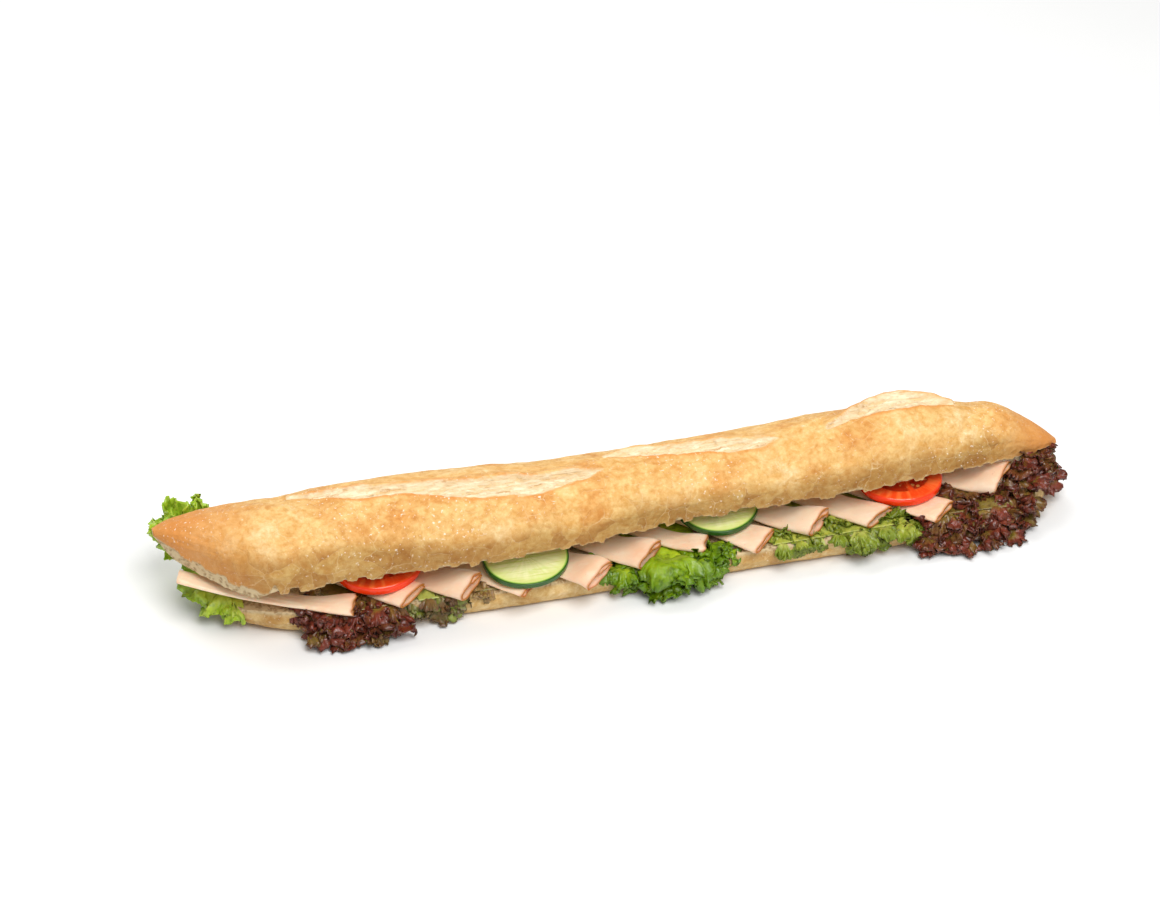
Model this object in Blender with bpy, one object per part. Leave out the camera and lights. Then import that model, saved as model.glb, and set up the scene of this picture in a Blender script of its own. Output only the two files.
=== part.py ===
"""A long baguette sandwich, opened at its front side.

The bread lies along X with its open side to -Y and stands on the floor at z = 0. Between the
halves lie rolled slices of meat, cucumber, tomato and salad leaves. Lengths are in millimetres
until a mesh is made, which turns them into metres.
"""
import math

import bpy
import numpy as np
from mathutils import Vector, noise

MM = 0.001

# Driving dimensions of the bread
BASE_CUT_HEIGHT = 16.0
BASE_FOOT_INSET = 8.0
BREAD_EDGE = 32.5
LOAF_CENTRE_ABOVE_CUT = 9.0
TOP_LEAN = math.tan(math.radians(6.0))
CROWN_SUNK = 0.35
FULL_CROWN = 20.0
CRUMB_DROP = 7.0
CRUMB_END = -200.0
CRUMB_FADE = 18.0
CRUST_RAGGED = 1.3
CRUST_UNEVEN = 1.1
CUT_EDGE_INSET = 1.2
CUT_HOLLOW = 0.9
BASE_LIP = 1.6
BASE_LIP_DROP = 2.2
SLASH_FULL_WIDTH = 5.0
EAR_SPREAD = 3.5

# Driving dimensions of the fillings
SLICE_THICK = 1.3
ROLL_FLOOR = 17.9
ROLL_DROOP = 4.0
ROLL_RISE = 21.0
ROLL_SETTLE = 28.5
ROLL_TURN = 33.5
ROLL_TAIL_HEIGHT = 4.2
ROLL_GAP_ANGLE = 16.0
ROLL_SQUARENESS = 0.85
LEAF_THICK = 0.9
LEAF_BED = 17.0
LEAF_POINTED = 0.26
CUCUMBER_RADIUS = 24.5
CUCUMBER_THICK = 3.2
TOMATO_RADIUS = 25.0
TOMATO_THICK = 5.6

# Mesh steps
TOP_STATIONS = 56
TOP_ARC_STEPS = 22
BASE_STATIONS = 40
DISC_STEPS = 24
CUT_STEPS = 5
ROLL_STEPS = 6
ROLL_TURN_STEPS = 15

# Upper half at stations along x: front edge y and z, back edge y, height of the crown above the cut
TOP_PROFILE = (
    (-262, 21, 51, 27, 3),
    (-255, 12, 49, 31, 9),
    (-240, -4, 45, 34, 19.5),
    (-226, -18, 42.5, 36, 27),
    (-212, -29, 41, 37, 32),
    (-190, -32, 40.5, 38, 33),
    (-160, -31, 40, 39, 35),
    (-110, -33, 40, 39, 36),
    (-40, -32, 40, 35, 32.5),
    (25, -22, 39, 36, 30.5),
    (80, -20, 39, 38, 31),
    (140, -20, 39, 40, 34),
    (175, -16, 38.5, 41, 36),
    (196, -13, 38, 38, 31),
    (212, -11, 37.8, 33, 26),
    (228, -9, 37.5, 30, 25),
    (245, -4, 37, 22, 17),
    (257, 0, 36.5, 14, 8.5),
    (264, 4, 36.5, 8, 2.5),
)

# Lower half at stations along x: front and back of its side, height of its foot
BASE_PROFILE = (
    (-228, 2, 12, 9),
    (-222, -9, 20, 5.5),
    (-210, -17, 25, 2.5),
    (-192, -23, 29, 0),
    (-160, -27, 31, 0),
    (-100, -31.5, 32, 0),
    (0, -32, 31, 0),
    (90, -32, 31, 0),
    (180, -31, 30, 0),
    (220, -27, 27, 0),
    (245, -18, 21, 2),
    (262, -3, 11, 7),
)

# Slashes in the crown: depth, ear height, then places as x, angle over the crown and half width
SLASHES = (
    (2.6, 2.2, ((-187, 112, 2), (-155, 92, 5), (-121, 85, 4.8), (-105, 79, 6), (-86, 74.5, 6.9),
                (-69, 75, 7.6), (-57, 72, 6.8), (-42, 74, 5.6), (-26, 76.5, 4.2), (-11, 80, 1.2))),
    (2.4, 1.8, ((-7, 104, 1.5), (12, 101, 4.6), (29, 93, 5), (50, 86, 5), (70, 78, 4.7), (86, 76, 3),
                (93, 76, 1))),
    (2.6, 3.6, ((122, 78, 2), (143, 92, 4.5), (157, 96, 7.5), (172, 94, 8.5), (186, 95, 7), (204, 97, 2))),
)

# Rolled slices: x, y, z of the mouth, yaw there, its width, height and tilt; the tail's width, lift
# and yaw; the whole length
ROLLS = (
    (-160, -28, 21.5, 21, 17, 4.5, 6, 11, 14, 21, 97),
    (-127, -31, 20.0, 44, 20, 5.5, 14, 21, 0, 46, 72),
    (-94, -33, 21.5, 44, 20, 7.5, 22, 21, 0, 46, 75),
    (-61, -37, 17.3, 46, 19, 4.0, 6, 21, 0, 46, 79),
    (-22, -39, 21.5, 50, 22, 8.0, 20, 22, 0, 46, 79),
    (10, -30, 22.5, 43, 21, 9.0, 22, 22, 0, 46, 71),
    (44, -25, 22.0, 26, 15, 5.5, 6, 14, 0, 46, 69),
    (77, -31, 20.5, 46, 20, 5.0, 14, 18, 0, 46, 71),
    (111, -24, 22.5, 40, 20, 9.5, 20, 21, 0, 46, 63),
    (147, -25, 21.0, 46, 19, 6.0, 12, 20, 0, 46, 63),
    (185, -29, 20.0, 44, 20, 5.0, 8, 21, 0, 46, 68),
    (229, -8, 22.5, 30, 23, 9.5, 16, 22, 0, 46, 44),
)

# Cucumber and tomato slices: x, y and z of the middle, tilt down to the front
CUCUMBERS = {"left": (-60, -17.5, 27.2, 8), "right": (57, 1, 28.4, 6)}
TOMATOES = {"left": (-142, -5, 29.2, 5), "right": (167, 2, 28.6, 6)}

COLOURS = {
    "crust": (0.79, 0.52, 0.22, 0.75),
    "meat": (0.83, 0.55, 0.42, 0.45),
    "tomato": (0.78, 0.06, 0.015, 0.25),
    "cucumber": (0.62, 0.72, 0.30, 0.3),
    "green leaf": (0.26, 0.47, 0.04, 0.4),
    "pale leaf": (0.42, 0.52, 0.10, 0.4),
    "red leaf": (0.12, 0.03, 0.03, 0.4),
    "olive leaf": (0.25, 0.22, 0.05, 0.4),
}


def clear_scene():
    for thing in list(bpy.data.objects):
        bpy.data.objects.remove(thing, do_unlink=True)


def material(name):
    """The finish of that name, made once."""
    if name in bpy.data.materials:
        return bpy.data.materials[name]
    red, green, blue, roughness = COLOURS[name]
    made = bpy.data.materials.new(name)
    made.use_nodes = True
    shader = made.node_tree.nodes["Principled BSDF"]
    shader.inputs["Base Color"].default_value = (red, green, blue, 1)
    shader.inputs["Roughness"].default_value = roughness
    shader.inputs["Metallic"].default_value = 0
    return made


def add_object(name, points, faces, finish, smooth_angle=50):
    """A named object from points in millimetres."""
    mesh = bpy.data.meshes.new(name)
    mesh.from_pydata([tuple(float(c) * MM for c in p) for p in points], [], faces)
    mesh.validate()
    mesh.shade_smooth()
    mesh.set_sharp_from_angle(angle=math.radians(smooth_angle))
    mesh.materials.append(material(finish))
    made = bpy.data.objects.new(name, mesh)
    bpy.context.scene.collection.objects.link(made)
    return made


def blend(rows, x):
    """The rows' values at x, on a smooth curve through them."""
    table = np.array(rows, float)
    at, values = table[:, 0], table[:, 1:]
    slopes = np.gradient(values, at, axis=0)
    i = int(np.clip(np.searchsorted(at, x) - 1, 0, len(at) - 2))
    span = at[i + 1] - at[i]
    t = min(max((x - at[i]) / span, 0.0), 1.0)
    start, end = 2 * t**3 - 3 * t**2 + 1, 3 * t**2 - 2 * t**3
    return (start * values[i] + (t**3 - 2 * t**2 + t) * span * slopes[i]
            + end * values[i + 1] + (t**3 - t**2) * span * slopes[i + 1])


def ease(t):
    t = min(max(t, 0.0), 1.0)
    return t * t * (3 - 2 * t)


def bumps(x, y, z, size, seed):
    """Smooth unevenness between about -1 and 1, with lumps of the given size."""
    return noise.noise(Vector((x / size + seed * 17.3, y / size, z / size)))


def stations(first, last, count, crowding=0.75):
    """Places along x, closer together near both ends."""
    t = np.linspace(-1, 1, count)
    t = crowding * t + (1 - crowding) * np.sin(t * math.pi / 2)
    return first + (t + 1) / 2 * (last - first)


def skin(name, rings, finish):
    """A closed solid through rings of equal point counts, with a fan at each end."""
    count = len(rings[0])
    points = [p for ring in rings for p in ring]
    faces = []
    for i in range(len(rings) - 1):
        for j in range(count):
            k = (j + 1) % count
            faces.append((i * count + j, i * count + k, (i + 1) * count + k, (i + 1) * count + j))
    for i, turned in ((0, False), (len(rings) - 1, True)):
        centre = len(points)
        points.append(np.mean(rings[i], axis=0))
        for j in range(count):
            k = (j + 1) % count
            first, second = i * count + j, i * count + k
            faces.append((centre, first, second) if turned else (centre, second, first))
    return add_object(name, points, faces, finish)


def slab(name, centres, thickness, finish):
    """A thin sheet with thickness, both faces split alike, from a grid of its middle points."""
    grid = np.array(centres, float)
    across = np.gradient(grid, axis=0)
    along = np.gradient(grid, axis=1)
    normal = np.cross(across, along)
    normal /= np.linalg.norm(normal, axis=2, keepdims=True)
    rows, columns = grid.shape[:2]
    points = [p for side in (0.5, -0.5) for row in grid + normal * thickness * side for p in row]
    below = rows * columns
    faces = []
    for i in range(rows - 1):
        for j in range(columns - 1):
            a, b = i * columns + j, (i + 1) * columns + j
            for one, two, three in ((a, b, b + 1), (a, b + 1, a + 1)):
                faces.append((one, two, three))
                faces.append((one + below, three + below, two + below))
    rim = ([(i, 0) for i in range(rows - 1)] + [(rows - 1, j) for j in range(columns - 1)]
           + [(i, columns - 1) for i in range(rows - 1, 0, -1)] + [(0, j) for j in range(columns - 1, 0, -1)])
    for (i, j), (k, m) in zip(rim, rim[1:] + rim[:1]):
        a, b = i * columns + j, k * columns + m
        faces += [(b, a, a + below), (b, a + below, b + below)]
    return add_object(name, points, faces, finish, 70)


def slash_relief(x, angle, arc_per_degree):
    """How far the slashes sink or lift the crown at x and at an angle over it."""
    height = 0.0
    for depth, ear, places in SLASHES:
        if not places[0][0] < x < places[-1][0]:
            continue
        middle, half_width = blend(places, x)
        opening = min(half_width / SLASH_FULL_WIDTH, 1.0)
        away = (angle - middle) * arc_per_degree
        inside = away / half_width
        if abs(inside) < 1:
            height -= depth * opening * (1 - inside * inside)
        lip = (away - half_width) / EAR_SPREAD
        height += ear * opening * math.exp(-lip * lip)
    return height


def top_ring(x):
    """The upper half's outline at x: round the crust from front to back, then back along the cut."""
    front, edge_z, back, crown = blend(TOP_PROFILE, x)
    sunk = min(LOAF_CENTRE_ABOVE_CUT, crown * CROWN_SUNK)
    rise = max(crown - sunk, 1.0)
    tuck = math.asin(min(sunk / (rise * 1.6), 0.6))
    half = (back - front) / 2 / math.cos(tuck)
    middle = (front + back) / 2
    arc_per_degree = math.pi * (half + rise) / 360
    full = ease(crown / FULL_CROWN)
    ring = []
    for step in range(TOP_ARC_STEPS + 1):
        angle = -tuck + (math.pi + 2 * tuck) * step / TOP_ARC_STEPS
        out_y, up_z = -math.cos(angle), math.sin(angle)
        swell = rise if up_z > 0 else sunk / math.sin(tuck)
        lift = slash_relief(x, math.degrees(angle), arc_per_degree)
        lift += CRUST_UNEVEN * bumps(x, 60 * out_y, 60 * up_z, 34, 1)
        lift *= full
        y = middle + (half + lift) * out_y
        z = edge_z + sunk + (swell + lift) * up_z
        if step in (0, TOP_ARC_STEPS):
            z += CRUST_RAGGED * bumps(x, y, 0, 5.5, 2) * full
        ring.append((x, y, z - (y - front) * TOP_LEAN))
    return ring + cut_points(x, front, back, edge_z, full)


def cut_points(x, front, back, edge_z, full):
    """The cut face from back to front, with the crumb that shows below the crust at the left end."""
    drop = CRUMB_DROP * ease((CRUMB_END - x) / CRUMB_FADE) * ease((x - TOP_PROFILE[0][0]) / 12)
    points = []
    for step in range(1, CUT_STEPS + 1):
        along = step / CUT_STEPS
        y = back + (front + CUT_EDGE_INSET - back) * along
        hollow = CUT_HOLLOW * math.sin(math.pi * along) * full
        fall = drop * ease(along / 0.5) + 0.5 * ease((along - 0.8) / 0.2)
        points.append((x, y, edge_z + hollow - fall - (y - front) * TOP_LEAN))
    return points


def bread_top():
    places = stations(TOP_PROFILE[0][0], TOP_PROFILE[-1][0], TOP_STATIONS)
    skin("bread_top", [top_ring(x)[::-1] for x in places], "crust")


def base_ring(x):
    """The lower half's outline at x: its cut face, then its side and foot."""
    front, back, foot = blend(BASE_PROFILE, x)
    foot = max(foot, 0.0)
    width = back - front
    cut = BASE_CUT_HEIGHT - BASE_LIP_DROP * ease((foot - 2) / 7)
    side = foot + (cut - foot) * 0.55
    inset = min(BASE_FOOT_INSET, width * 0.2)
    lip = min(BASE_LIP, width * 0.1)
    ring = []
    for step in range(CUT_STEPS + 1):
        y = back - lip - (width - 2 * lip) * step / CUT_STEPS
        ring.append((x, y, cut + 0.35 * bumps(x, y, 0, 14, 3)))
    ragged = CRUST_RAGGED * 0.5 * bumps(x, 0, 0, 7, 4)
    low = foot + (side - foot) * 0.3
    ring += [(x, front + lip * 0.3 + ragged, cut - BASE_LIP_DROP), (x, front + ragged, side),
             (x, front + inset * 0.35, low), (x, front + inset, foot),
             (x, (front + back) / 2, foot),
             (x, back - inset, foot), (x, back - inset * 0.35, low),
             (x, back, side), (x, back - lip * 0.3, cut - BASE_LIP_DROP)]
    return ring


def bread_base():
    places = stations(BASE_PROFILE[0][0], BASE_PROFILE[-1][0], BASE_STATIONS)
    skin("bread_base", [base_ring(x) for x in places], "crust")


def roll_axis(x, y, yaw, tail_yaw, length):
    """Distances, points and headings of a roll's middle line from its mouth to its tail."""
    place = np.array((x, y), float)
    step = length / (ROLL_STEPS - 1)
    line = []
    for i in range(ROLL_STEPS):
        turn = math.radians(yaw + (tail_yaw - yaw) * ease(i * step / ROLL_TURN))
        heading = np.array((-math.cos(turn), math.sin(turn)))
        line.append((i * step, place, heading))
        place = place + heading * step
    return line


def roll_floor(y):
    """The lowest a roll may lie at y: on the leaves, or lower where it hangs out at the front."""
    return ROLL_FLOOR - ROLL_DROOP * ease((-BREAD_EDGE - 4 - y) / 8)


def meat_roll(index, x, y, z, yaw, width, height, tilt, tail_width, tail_lift, tail_yaw, length):
    """One slice folded into a flat roll: its mouth in front, its tail running to the back."""
    up = np.array((0, 0, 1.0))
    open_angle = math.radians(ROLL_GAP_ANGLE)
    grid = []
    for distance, place, heading in roll_axis(x, y, yaw, tail_yaw, length):
        settle = ease(distance / ROLL_SETTLE)
        half_width = (width + (tail_width - width) * settle - SLICE_THICK) / 2
        half_height = (height + (ROLL_TAIL_HEIGHT - height) * settle - SLICE_THICK) / 2
        lean = math.radians(tilt) * (1 - settle)
        rest = ROLL_FLOOR + half_height + SLICE_THICK / 2
        lift = (rest - z) * ease(distance / ROLL_RISE) + tail_lift * (distance / length) ** 2
        centre = np.array((*place, z + lift))
        side = np.array((heading[1], -heading[0], 0))
        across = side * math.cos(lean) + up * math.sin(lean)
        over = up * math.cos(lean) - side * math.sin(lean)
        row = []
        for turn in np.linspace(open_angle, 2 * math.pi - open_angle, ROLL_TURN_STEPS):
            flat = abs(math.cos(turn)) ** ROLL_SQUARENESS * math.copysign(1, math.cos(turn))
            row.append(centre + across * half_width * flat + over * half_height * math.sin(turn))
        row = np.array(row)
        row[:, 2] += max(0.0, max(roll_floor(p[1]) + SLICE_THICK / 2 - p[2] for p in row))
        grid.append(row)
    slab(f"meat_roll_{index:02d}", grid, SLICE_THICK, "meat")


def disc(name, finish, x, y, z, tilt, radius, thickness, swell):
    """A round slice, its front side lower by the tilt, its edge swelling out between its faces."""
    tilt = math.radians(tilt)
    rings = []
    for height, reach in ((-0.5, 0.97), (-0.2, 1 + swell), (0.2, 1 + swell), (0.5, 0.97)):
        ring = []
        for step in range(DISC_STEPS):
            angle = 2 * math.pi * step / DISC_STEPS
            out = radius * reach * (1 + 0.015 * math.sin(3 * angle + x))
            ahead = out * math.sin(angle)
            up = height * thickness
            ring.append((x + out * math.cos(angle), y + ahead * math.cos(tilt) - up * math.sin(tilt),
                         z + ahead * math.sin(tilt) + up * math.cos(tilt)))
        rings.append(ring)
    skin(name, rings, finish)


def on_path(path, steps, along):
    """The point at a share of the path's length."""
    return np.array([np.interp(along, steps, path[:, column]) for column in (0, 1)])


def leaf(name, finish, root, heading, widths, path, waves, frill, shift=0.0, rise=0.0, seed=0.0,
         columns=15):
    """A thin leaf: a strip in the sandwich whose outer end hangs out in ruffles.

    The root is its place in x and y, the heading in degrees from -Y towards -X. The path gives
    reach and height from root to rim; widths are those of root and rim, waves the number of
    ruffles over the rim, frill their height, shift the rim's move to the side, rise how far one
    side of the rim stands up.
    """
    turn = math.radians(heading)
    out = np.array((-math.sin(turn), -math.cos(turn)))
    side = np.array((math.cos(turn), -math.sin(turn)))
    path = np.array(path, float)
    steps = np.concatenate(([0], np.cumsum(np.linalg.norm(np.diff(path, axis=0), axis=1))))
    steps /= steps[-1]
    bed_end = steps[path[:, 1] == LEAF_BED].max()
    grid = []
    for v in steps:
        row = []
        for u in np.linspace(-1, 1, columns):
            along = v - LEAF_POINTED * u * u * max(v - bed_end, 0)
            reach, height = on_path(path, steps, along)
            ahead = on_path(path, steps, along + 0.03) - on_path(path, steps, along - 0.03)
            ahead /= np.linalg.norm(ahead)
            loose = ease((along - bed_end) / (1 - bed_end) * 1.3)
            half = (widths[0] + (widths[1] - widths[0]) * ease(v)) / 2
            phase = math.pi * waves * u + seed
            wave = frill * loose * (math.sin(phase + 1.1 * v) + 0.3 * math.sin(2.3 * phase))
            place = out * (reach - ahead[1] * wave)
            place = place + side * (half * u + shift * loose + 0.3 * wave * math.cos(phase))
            height += ahead[0] * wave + rise * ease((-u - 0.45) / 0.55) * ease((v - 0.5) / 0.5)
            row.append((root[0] + place[0], root[1] + place[1], height))
        grid.append(row)
    slab(name, grid, LEAF_THICK, finish)


def leaves():
    """Every salad leaf, from the left end to the right."""
    bed = LEAF_BED
    over = BREAD_EDGE + 0.5
    leaf("lettuce_green_end", "green leaf", (-205, 10), 86, (18, 74),
         ((-6, bed), (8, bed), (18, bed), (25, bed), (32, 13.5), (37, 10), (41, 6.5)), 3.2, 2.0,
         shift=-8, rise=38, seed=0.6, columns=19)
    leaf("lettuce_red_left", "red leaf", (-158, 0), 0, (34, 60),
         ((-20, bed), (8, bed), (over, bed), (37, 14), (41, 10.5), (48, 7), (55, 5)), 2.6, 2.8, seed=1.0)
    leaf("lettuce_olive", "olive leaf", (-108, 0), 0, (24, 30),
         ((-20, bed), (8, bed), (over, bed), (36.5, 14), (39, 10), (42, 6)), 1.7, 1.4, seed=2.0)
    leaf("lettuce_brown", "red leaf", (-77, 0), 0, (16, 22),
         ((-20, bed), (6, bed), (over, bed), (36.5, 13.5)), 1.6, 0.4, seed=0.3, columns=11)
    leaf("lettuce_green_middle", "green leaf", (18, 0), 0, (40, 64),
         ((-20, bed), (8, bed), (over, bed), (37, 14.5), (42, 12.5), (48, 10), (53, 5)),
         2.7, 3.0, seed=2.6)
    leaf("lettuce_pale", "pale leaf", (120, 0), 0, (60, 88),
         ((-20, bed), (6, bed), (over, bed), (36, 14), (38.5, 10.5)), 4.0, 1.4, seed=1.4, columns=21)
    leaf("lettuce_red_right", "red leaf", (210, 0), 0, (28, 64),
         ((-16, bed), (8, bed), (over - 2, bed), (36, 14), (41, 11), (48, 8), (53, 5)), 3.0, 2.6, seed=0.4)
    leaf("lettuce_red_end", "red leaf", (232, 6), -58, (8, 24),
         ((-1, bed), (12, bed), (28, bed), (31, 14.5), (33, 11)), 1.6, 1.4, seed=1.9, columns=11)


def round_slices():
    """Cucumber and tomato slices, each lying on the rolls below it."""
    for side, place in CUCUMBERS.items():
        disc(f"cucumber_slice_{side}", "cucumber", *place, CUCUMBER_RADIUS, CUCUMBER_THICK, 0.0)
    for side, place in TOMATOES.items():
        disc(f"tomato_slice_{side}", "tomato", *place, TOMATO_RADIUS, TOMATO_THICK, 0.015)


def build():
    clear_scene()
    bread_base()
    bread_top()
    for index, roll in enumerate(ROLLS, start=1):
        meat_roll(index, *roll)
    round_slices()
    leaves()


build()
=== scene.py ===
import math

import bpy
import numpy as np
from mathutils import Matrix, Vector, noise
from mathutils.bvhtree import BVHTree


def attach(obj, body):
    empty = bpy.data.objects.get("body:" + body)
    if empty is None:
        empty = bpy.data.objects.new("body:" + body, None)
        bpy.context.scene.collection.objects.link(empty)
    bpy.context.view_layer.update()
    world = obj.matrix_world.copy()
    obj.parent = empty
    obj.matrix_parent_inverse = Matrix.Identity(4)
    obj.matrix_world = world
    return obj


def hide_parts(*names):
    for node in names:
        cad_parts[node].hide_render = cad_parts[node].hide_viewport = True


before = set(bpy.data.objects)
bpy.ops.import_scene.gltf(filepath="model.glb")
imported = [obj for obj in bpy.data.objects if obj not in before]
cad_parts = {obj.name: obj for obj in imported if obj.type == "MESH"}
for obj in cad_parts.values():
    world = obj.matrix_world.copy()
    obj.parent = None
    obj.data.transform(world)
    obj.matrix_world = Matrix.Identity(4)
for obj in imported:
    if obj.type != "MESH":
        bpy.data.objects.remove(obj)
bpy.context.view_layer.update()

# The table and the studio.
# A wide sheet of matt off-white paper, lit by a soft box high at the back left, by another at the
# front and by the pale room around it, seen through a long lens from the front and above.
MM = 0.001
CAMERA_PLACE = (-0.431, -1.577, 1.235)
CAMERA_AZIMUTH = math.radians(-14.49)
CAMERA_ELEVATION = math.radians(35.463)
CAMERA_LENS = 111.08
CAMERA_SENSOR = 36
PAPER_SIZE = 8.0
SOFT_BOX_SIZE = 1.1
# Each soft box: name, place and watts
SOFT_BOXES = (("soft_box", (-0.3, 0.75, 1.3), 12.0), ("front_box", (0.15, -0.85, 1.45), 27.5))
ROOM_LIGHT = 0.36


def linear(colour):
    """The linear colour of an sRGB hex value such as D0A060."""
    shares = [int(colour[i:i + 2], 16) / 255 for i in (0, 2, 4)]
    return (*(s / 12.92 if s <= 0.04045 else ((s + 0.055) / 1.055) ** 2.4 for s in shares), 1.0)


def add_node(tree, kind, inputs=None, **settings):
    """A shader node with its settings; an input takes a value or another node's output."""
    made = tree.nodes.new("ShaderNode" + kind)
    for name, value in settings.items():
        setattr(made, name, value)
    for name, value in (inputs or {}).items():
        if isinstance(value, bpy.types.NodeSocket):
            tree.links.new(value, made.inputs[name])
        else:
            made.inputs[name].default_value = value
    return made


def new_finish(name):
    """A new material of that name, with its node tree and its surface shader."""
    finish = bpy.data.materials.new(name)
    finish.use_nodes = True
    return finish, finish.node_tree, finish.node_tree.nodes["Principled BSDF"]


# Matt paper: a faint mottle of its fibres, no gloss.
paper_finish, tree, shader = new_finish("matt_paper")
place = add_node(tree, "TexCoord").outputs["Object"]
fibres = add_node(tree, "TexNoise", {"Vector": place, "Scale": 9.0, "Detail": 4.0}).outputs["Fac"]
tone = add_node(tree, "MixRGB", {"Fac": fibres, "Color1": linear("EDEDEC"), "Color2": linear("F1F1F0")})
tree.links.new(tone.outputs[0], shader.inputs["Base Color"])
shader.inputs["Roughness"].default_value = 0.9
bpy.ops.object.select_all(action="DESELECT")
bpy.ops.mesh.primitive_plane_add(size=PAPER_SIZE)
paper = bpy.context.object
paper.name = "paper"
paper.data.materials.append(paper_finish)

flat = math.cos(CAMERA_ELEVATION)
back = Vector((math.sin(CAMERA_AZIMUTH) * flat, -math.cos(CAMERA_AZIMUTH) * flat,
               math.sin(CAMERA_ELEVATION)))
right = Vector((0, 0, 1)).cross(back).normalized()
camera = bpy.data.objects.new("camera", bpy.data.cameras.new("camera"))
camera_axes = Matrix((right, back.cross(right), back)).transposed().to_4x4()
camera.matrix_world = Matrix.Translation(CAMERA_PLACE) @ camera_axes
camera.data.sensor_width = CAMERA_SENSOR
camera.data.lens = CAMERA_LENS
bpy.context.scene.collection.objects.link(camera)
bpy.context.scene.camera = camera

for name, place, watts in SOFT_BOXES:
    light = bpy.data.lights.new(name, "AREA")
    light.size = SOFT_BOX_SIZE
    light.energy = watts
    lamp = bpy.data.objects.new(name, light)
    lamp.matrix_world = (Matrix.Translation(place)
                         @ Vector(place).to_track_quat("Z", "Y").to_matrix().to_4x4())
    bpy.context.scene.collection.objects.link(lamp)
room = bpy.data.worlds.new("room")
room.use_nodes = True
room_surface = room.node_tree.nodes["Background"]
room_surface.inputs["Color"].default_value = (1, 1, 1, 1)
room_surface.inputs["Strength"].default_value = ROOM_LIGHT
bpy.context.scene.world = room
bpy.context.scene.view_settings.view_transform = "Standard"

# The lower half of the loaf.
# A long baguette cut through its side: a thin floury crust below, a flat face of cream crumb above.
# Its foot is flat, since the loaf lay on it in the oven.
BASE_CUT_HEIGHT = 16.0
BASE_END_FALL = 2.2
BASE_EDGE_DROP = 2.2
BASE_LIP = 1.6
BASE_FOOT_INSET = 8.0
BASE_STATIONS = 360
BASE_CUT_POINTS = 48
BASE_SIDE_STEPS = 5
STATION_EVENNESS = 0.75
SHARP_ANGLE = 60
PLATES_PER_METRE = 88.0
# Marks: cut crumb, torn crumb, toast with the painted ear shadows, low crust that gets painted shade.
LOAF_MARKS = ("crumb", "torn", "toast_and_ear_shadow", "low")
CUT_CRUMB = (1, 0, 0, 0)
# Unevenness of the cut: height, lump size and seed
CUT_ROUGHNESS = ((0.35, 14, 3), (0.5, 3.2, 9), (0.25, 1.4, 10))
# x, then the front and back edge and the height of the foot there
BASE_PROFILE = (
    (-228, 2, 12, 9),
    (-222, -9, 20, 5.5),
    (-210, -17, 25, 2.5),
    (-192, -23, 29, 0),
    (-160, -27, 31, 0),
    (-100, -31.5, 32, 0),
    (0, -32, 31, 0),
    (90, -32, 31, 0),
    (180, -31, 30, 0),
    (220, -27, 27, 0),
    (245, -18, 21, 2),
    (262, -3, 11, 7),
)


def profile_at(rows, x):
    """The rows' values at x, on a smooth curve through them."""
    table = np.array(rows, float)
    at, values = table[:, 0], table[:, 1:]
    slopes = np.gradient(values, at, axis=0)
    i = int(np.clip(np.searchsorted(at, x) - 1, 0, len(at) - 2))
    span = at[i + 1] - at[i]
    t = min(max((x - at[i]) / span, 0.0), 1.0)
    start, end = 2 * t**3 - 3 * t**2 + 1, 3 * t**2 - 2 * t**3
    return (start * values[i] + (t**3 - 2 * t**2 + t) * span * slopes[i]
            + end * values[i + 1] + (t**3 - t**2) * span * slopes[i + 1])


def ease(t):
    """A smooth rise from 0 to 1 while t goes from 0 to 1."""
    t = min(max(t, 0.0), 1.0)
    return t * t * (3 - 2 * t)


def bumps(x, y, z, size, seed):
    """Smooth unevenness between about -1 and 1, with lumps of the given size in millimetres."""
    return noise.noise(Vector((x / size + seed * 17.3, y / size, z / size)))


def stations(first, last, count):
    """Places along x, closer together near both ends."""
    t = np.linspace(-1, 1, count)
    t = STATION_EVENNESS * t + (1 - STATION_EVENNESS) * np.sin(t * math.pi / 2)
    return first + (t + 1) / 2 * (last - first)


def mark_points(mesh, mark, values):
    """A value at each point of the mesh, which its finish reads under that name."""
    made = mesh.attributes.new(mark, "FLOAT", "POINT")
    made.data.foreach_set("value", np.asarray(values, np.float32))


def add_piece(name, points, faces, finish, marks, sharp_angle=SHARP_ANGLE):
    """A smooth mesh from points in millimetres, with marks that say where its finish changes."""
    mesh = bpy.data.meshes.new(name)
    mesh.from_pydata((np.asarray(points, float) * MM).tolist(), [], faces)
    mesh.shade_smooth()
    for mark, values in marks.items():
        mark_points(mesh, mark, values)
    mesh.set_sharp_from_angle(angle=math.radians(sharp_angle))
    mesh.materials.append(finish)
    made = bpy.data.objects.new(name, mesh)
    bpy.context.scene.collection.objects.link(made)
    return made


def ring_faces(rings, count):
    """Faces between rings of equal point counts, and a fan at each end about its last two points."""
    faces = []
    for i in range(rings - 1):
        for j in range(count):
            k = (j + 1) % count
            faces.append((i * count + j, i * count + k, (i + 1) * count + k, (i + 1) * count + j))
    last = (rings - 1) * count
    for j in range(count):
        k = (j + 1) % count
        faces.append((rings * count, k, j))
        faces.append((rings * count + 1, last + j, last + k))
    return faces


def add_loaf_half(name, rings, finish):
    """A closed half of the loaf. Each point of a ring holds x, y, z and its marks."""
    count = len(rings[0])
    table = np.array([p for ring in rings for p in ring], float)
    ends = np.array([table[:count].mean(0), table[-count:].mean(0)])
    table = np.vstack((table, ends))
    marks = dict(zip(LOAF_MARKS, table[:, 3:].T))
    return add_piece(name, table[:, :3], ring_faces(len(rings), count), finish, marks)


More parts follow.
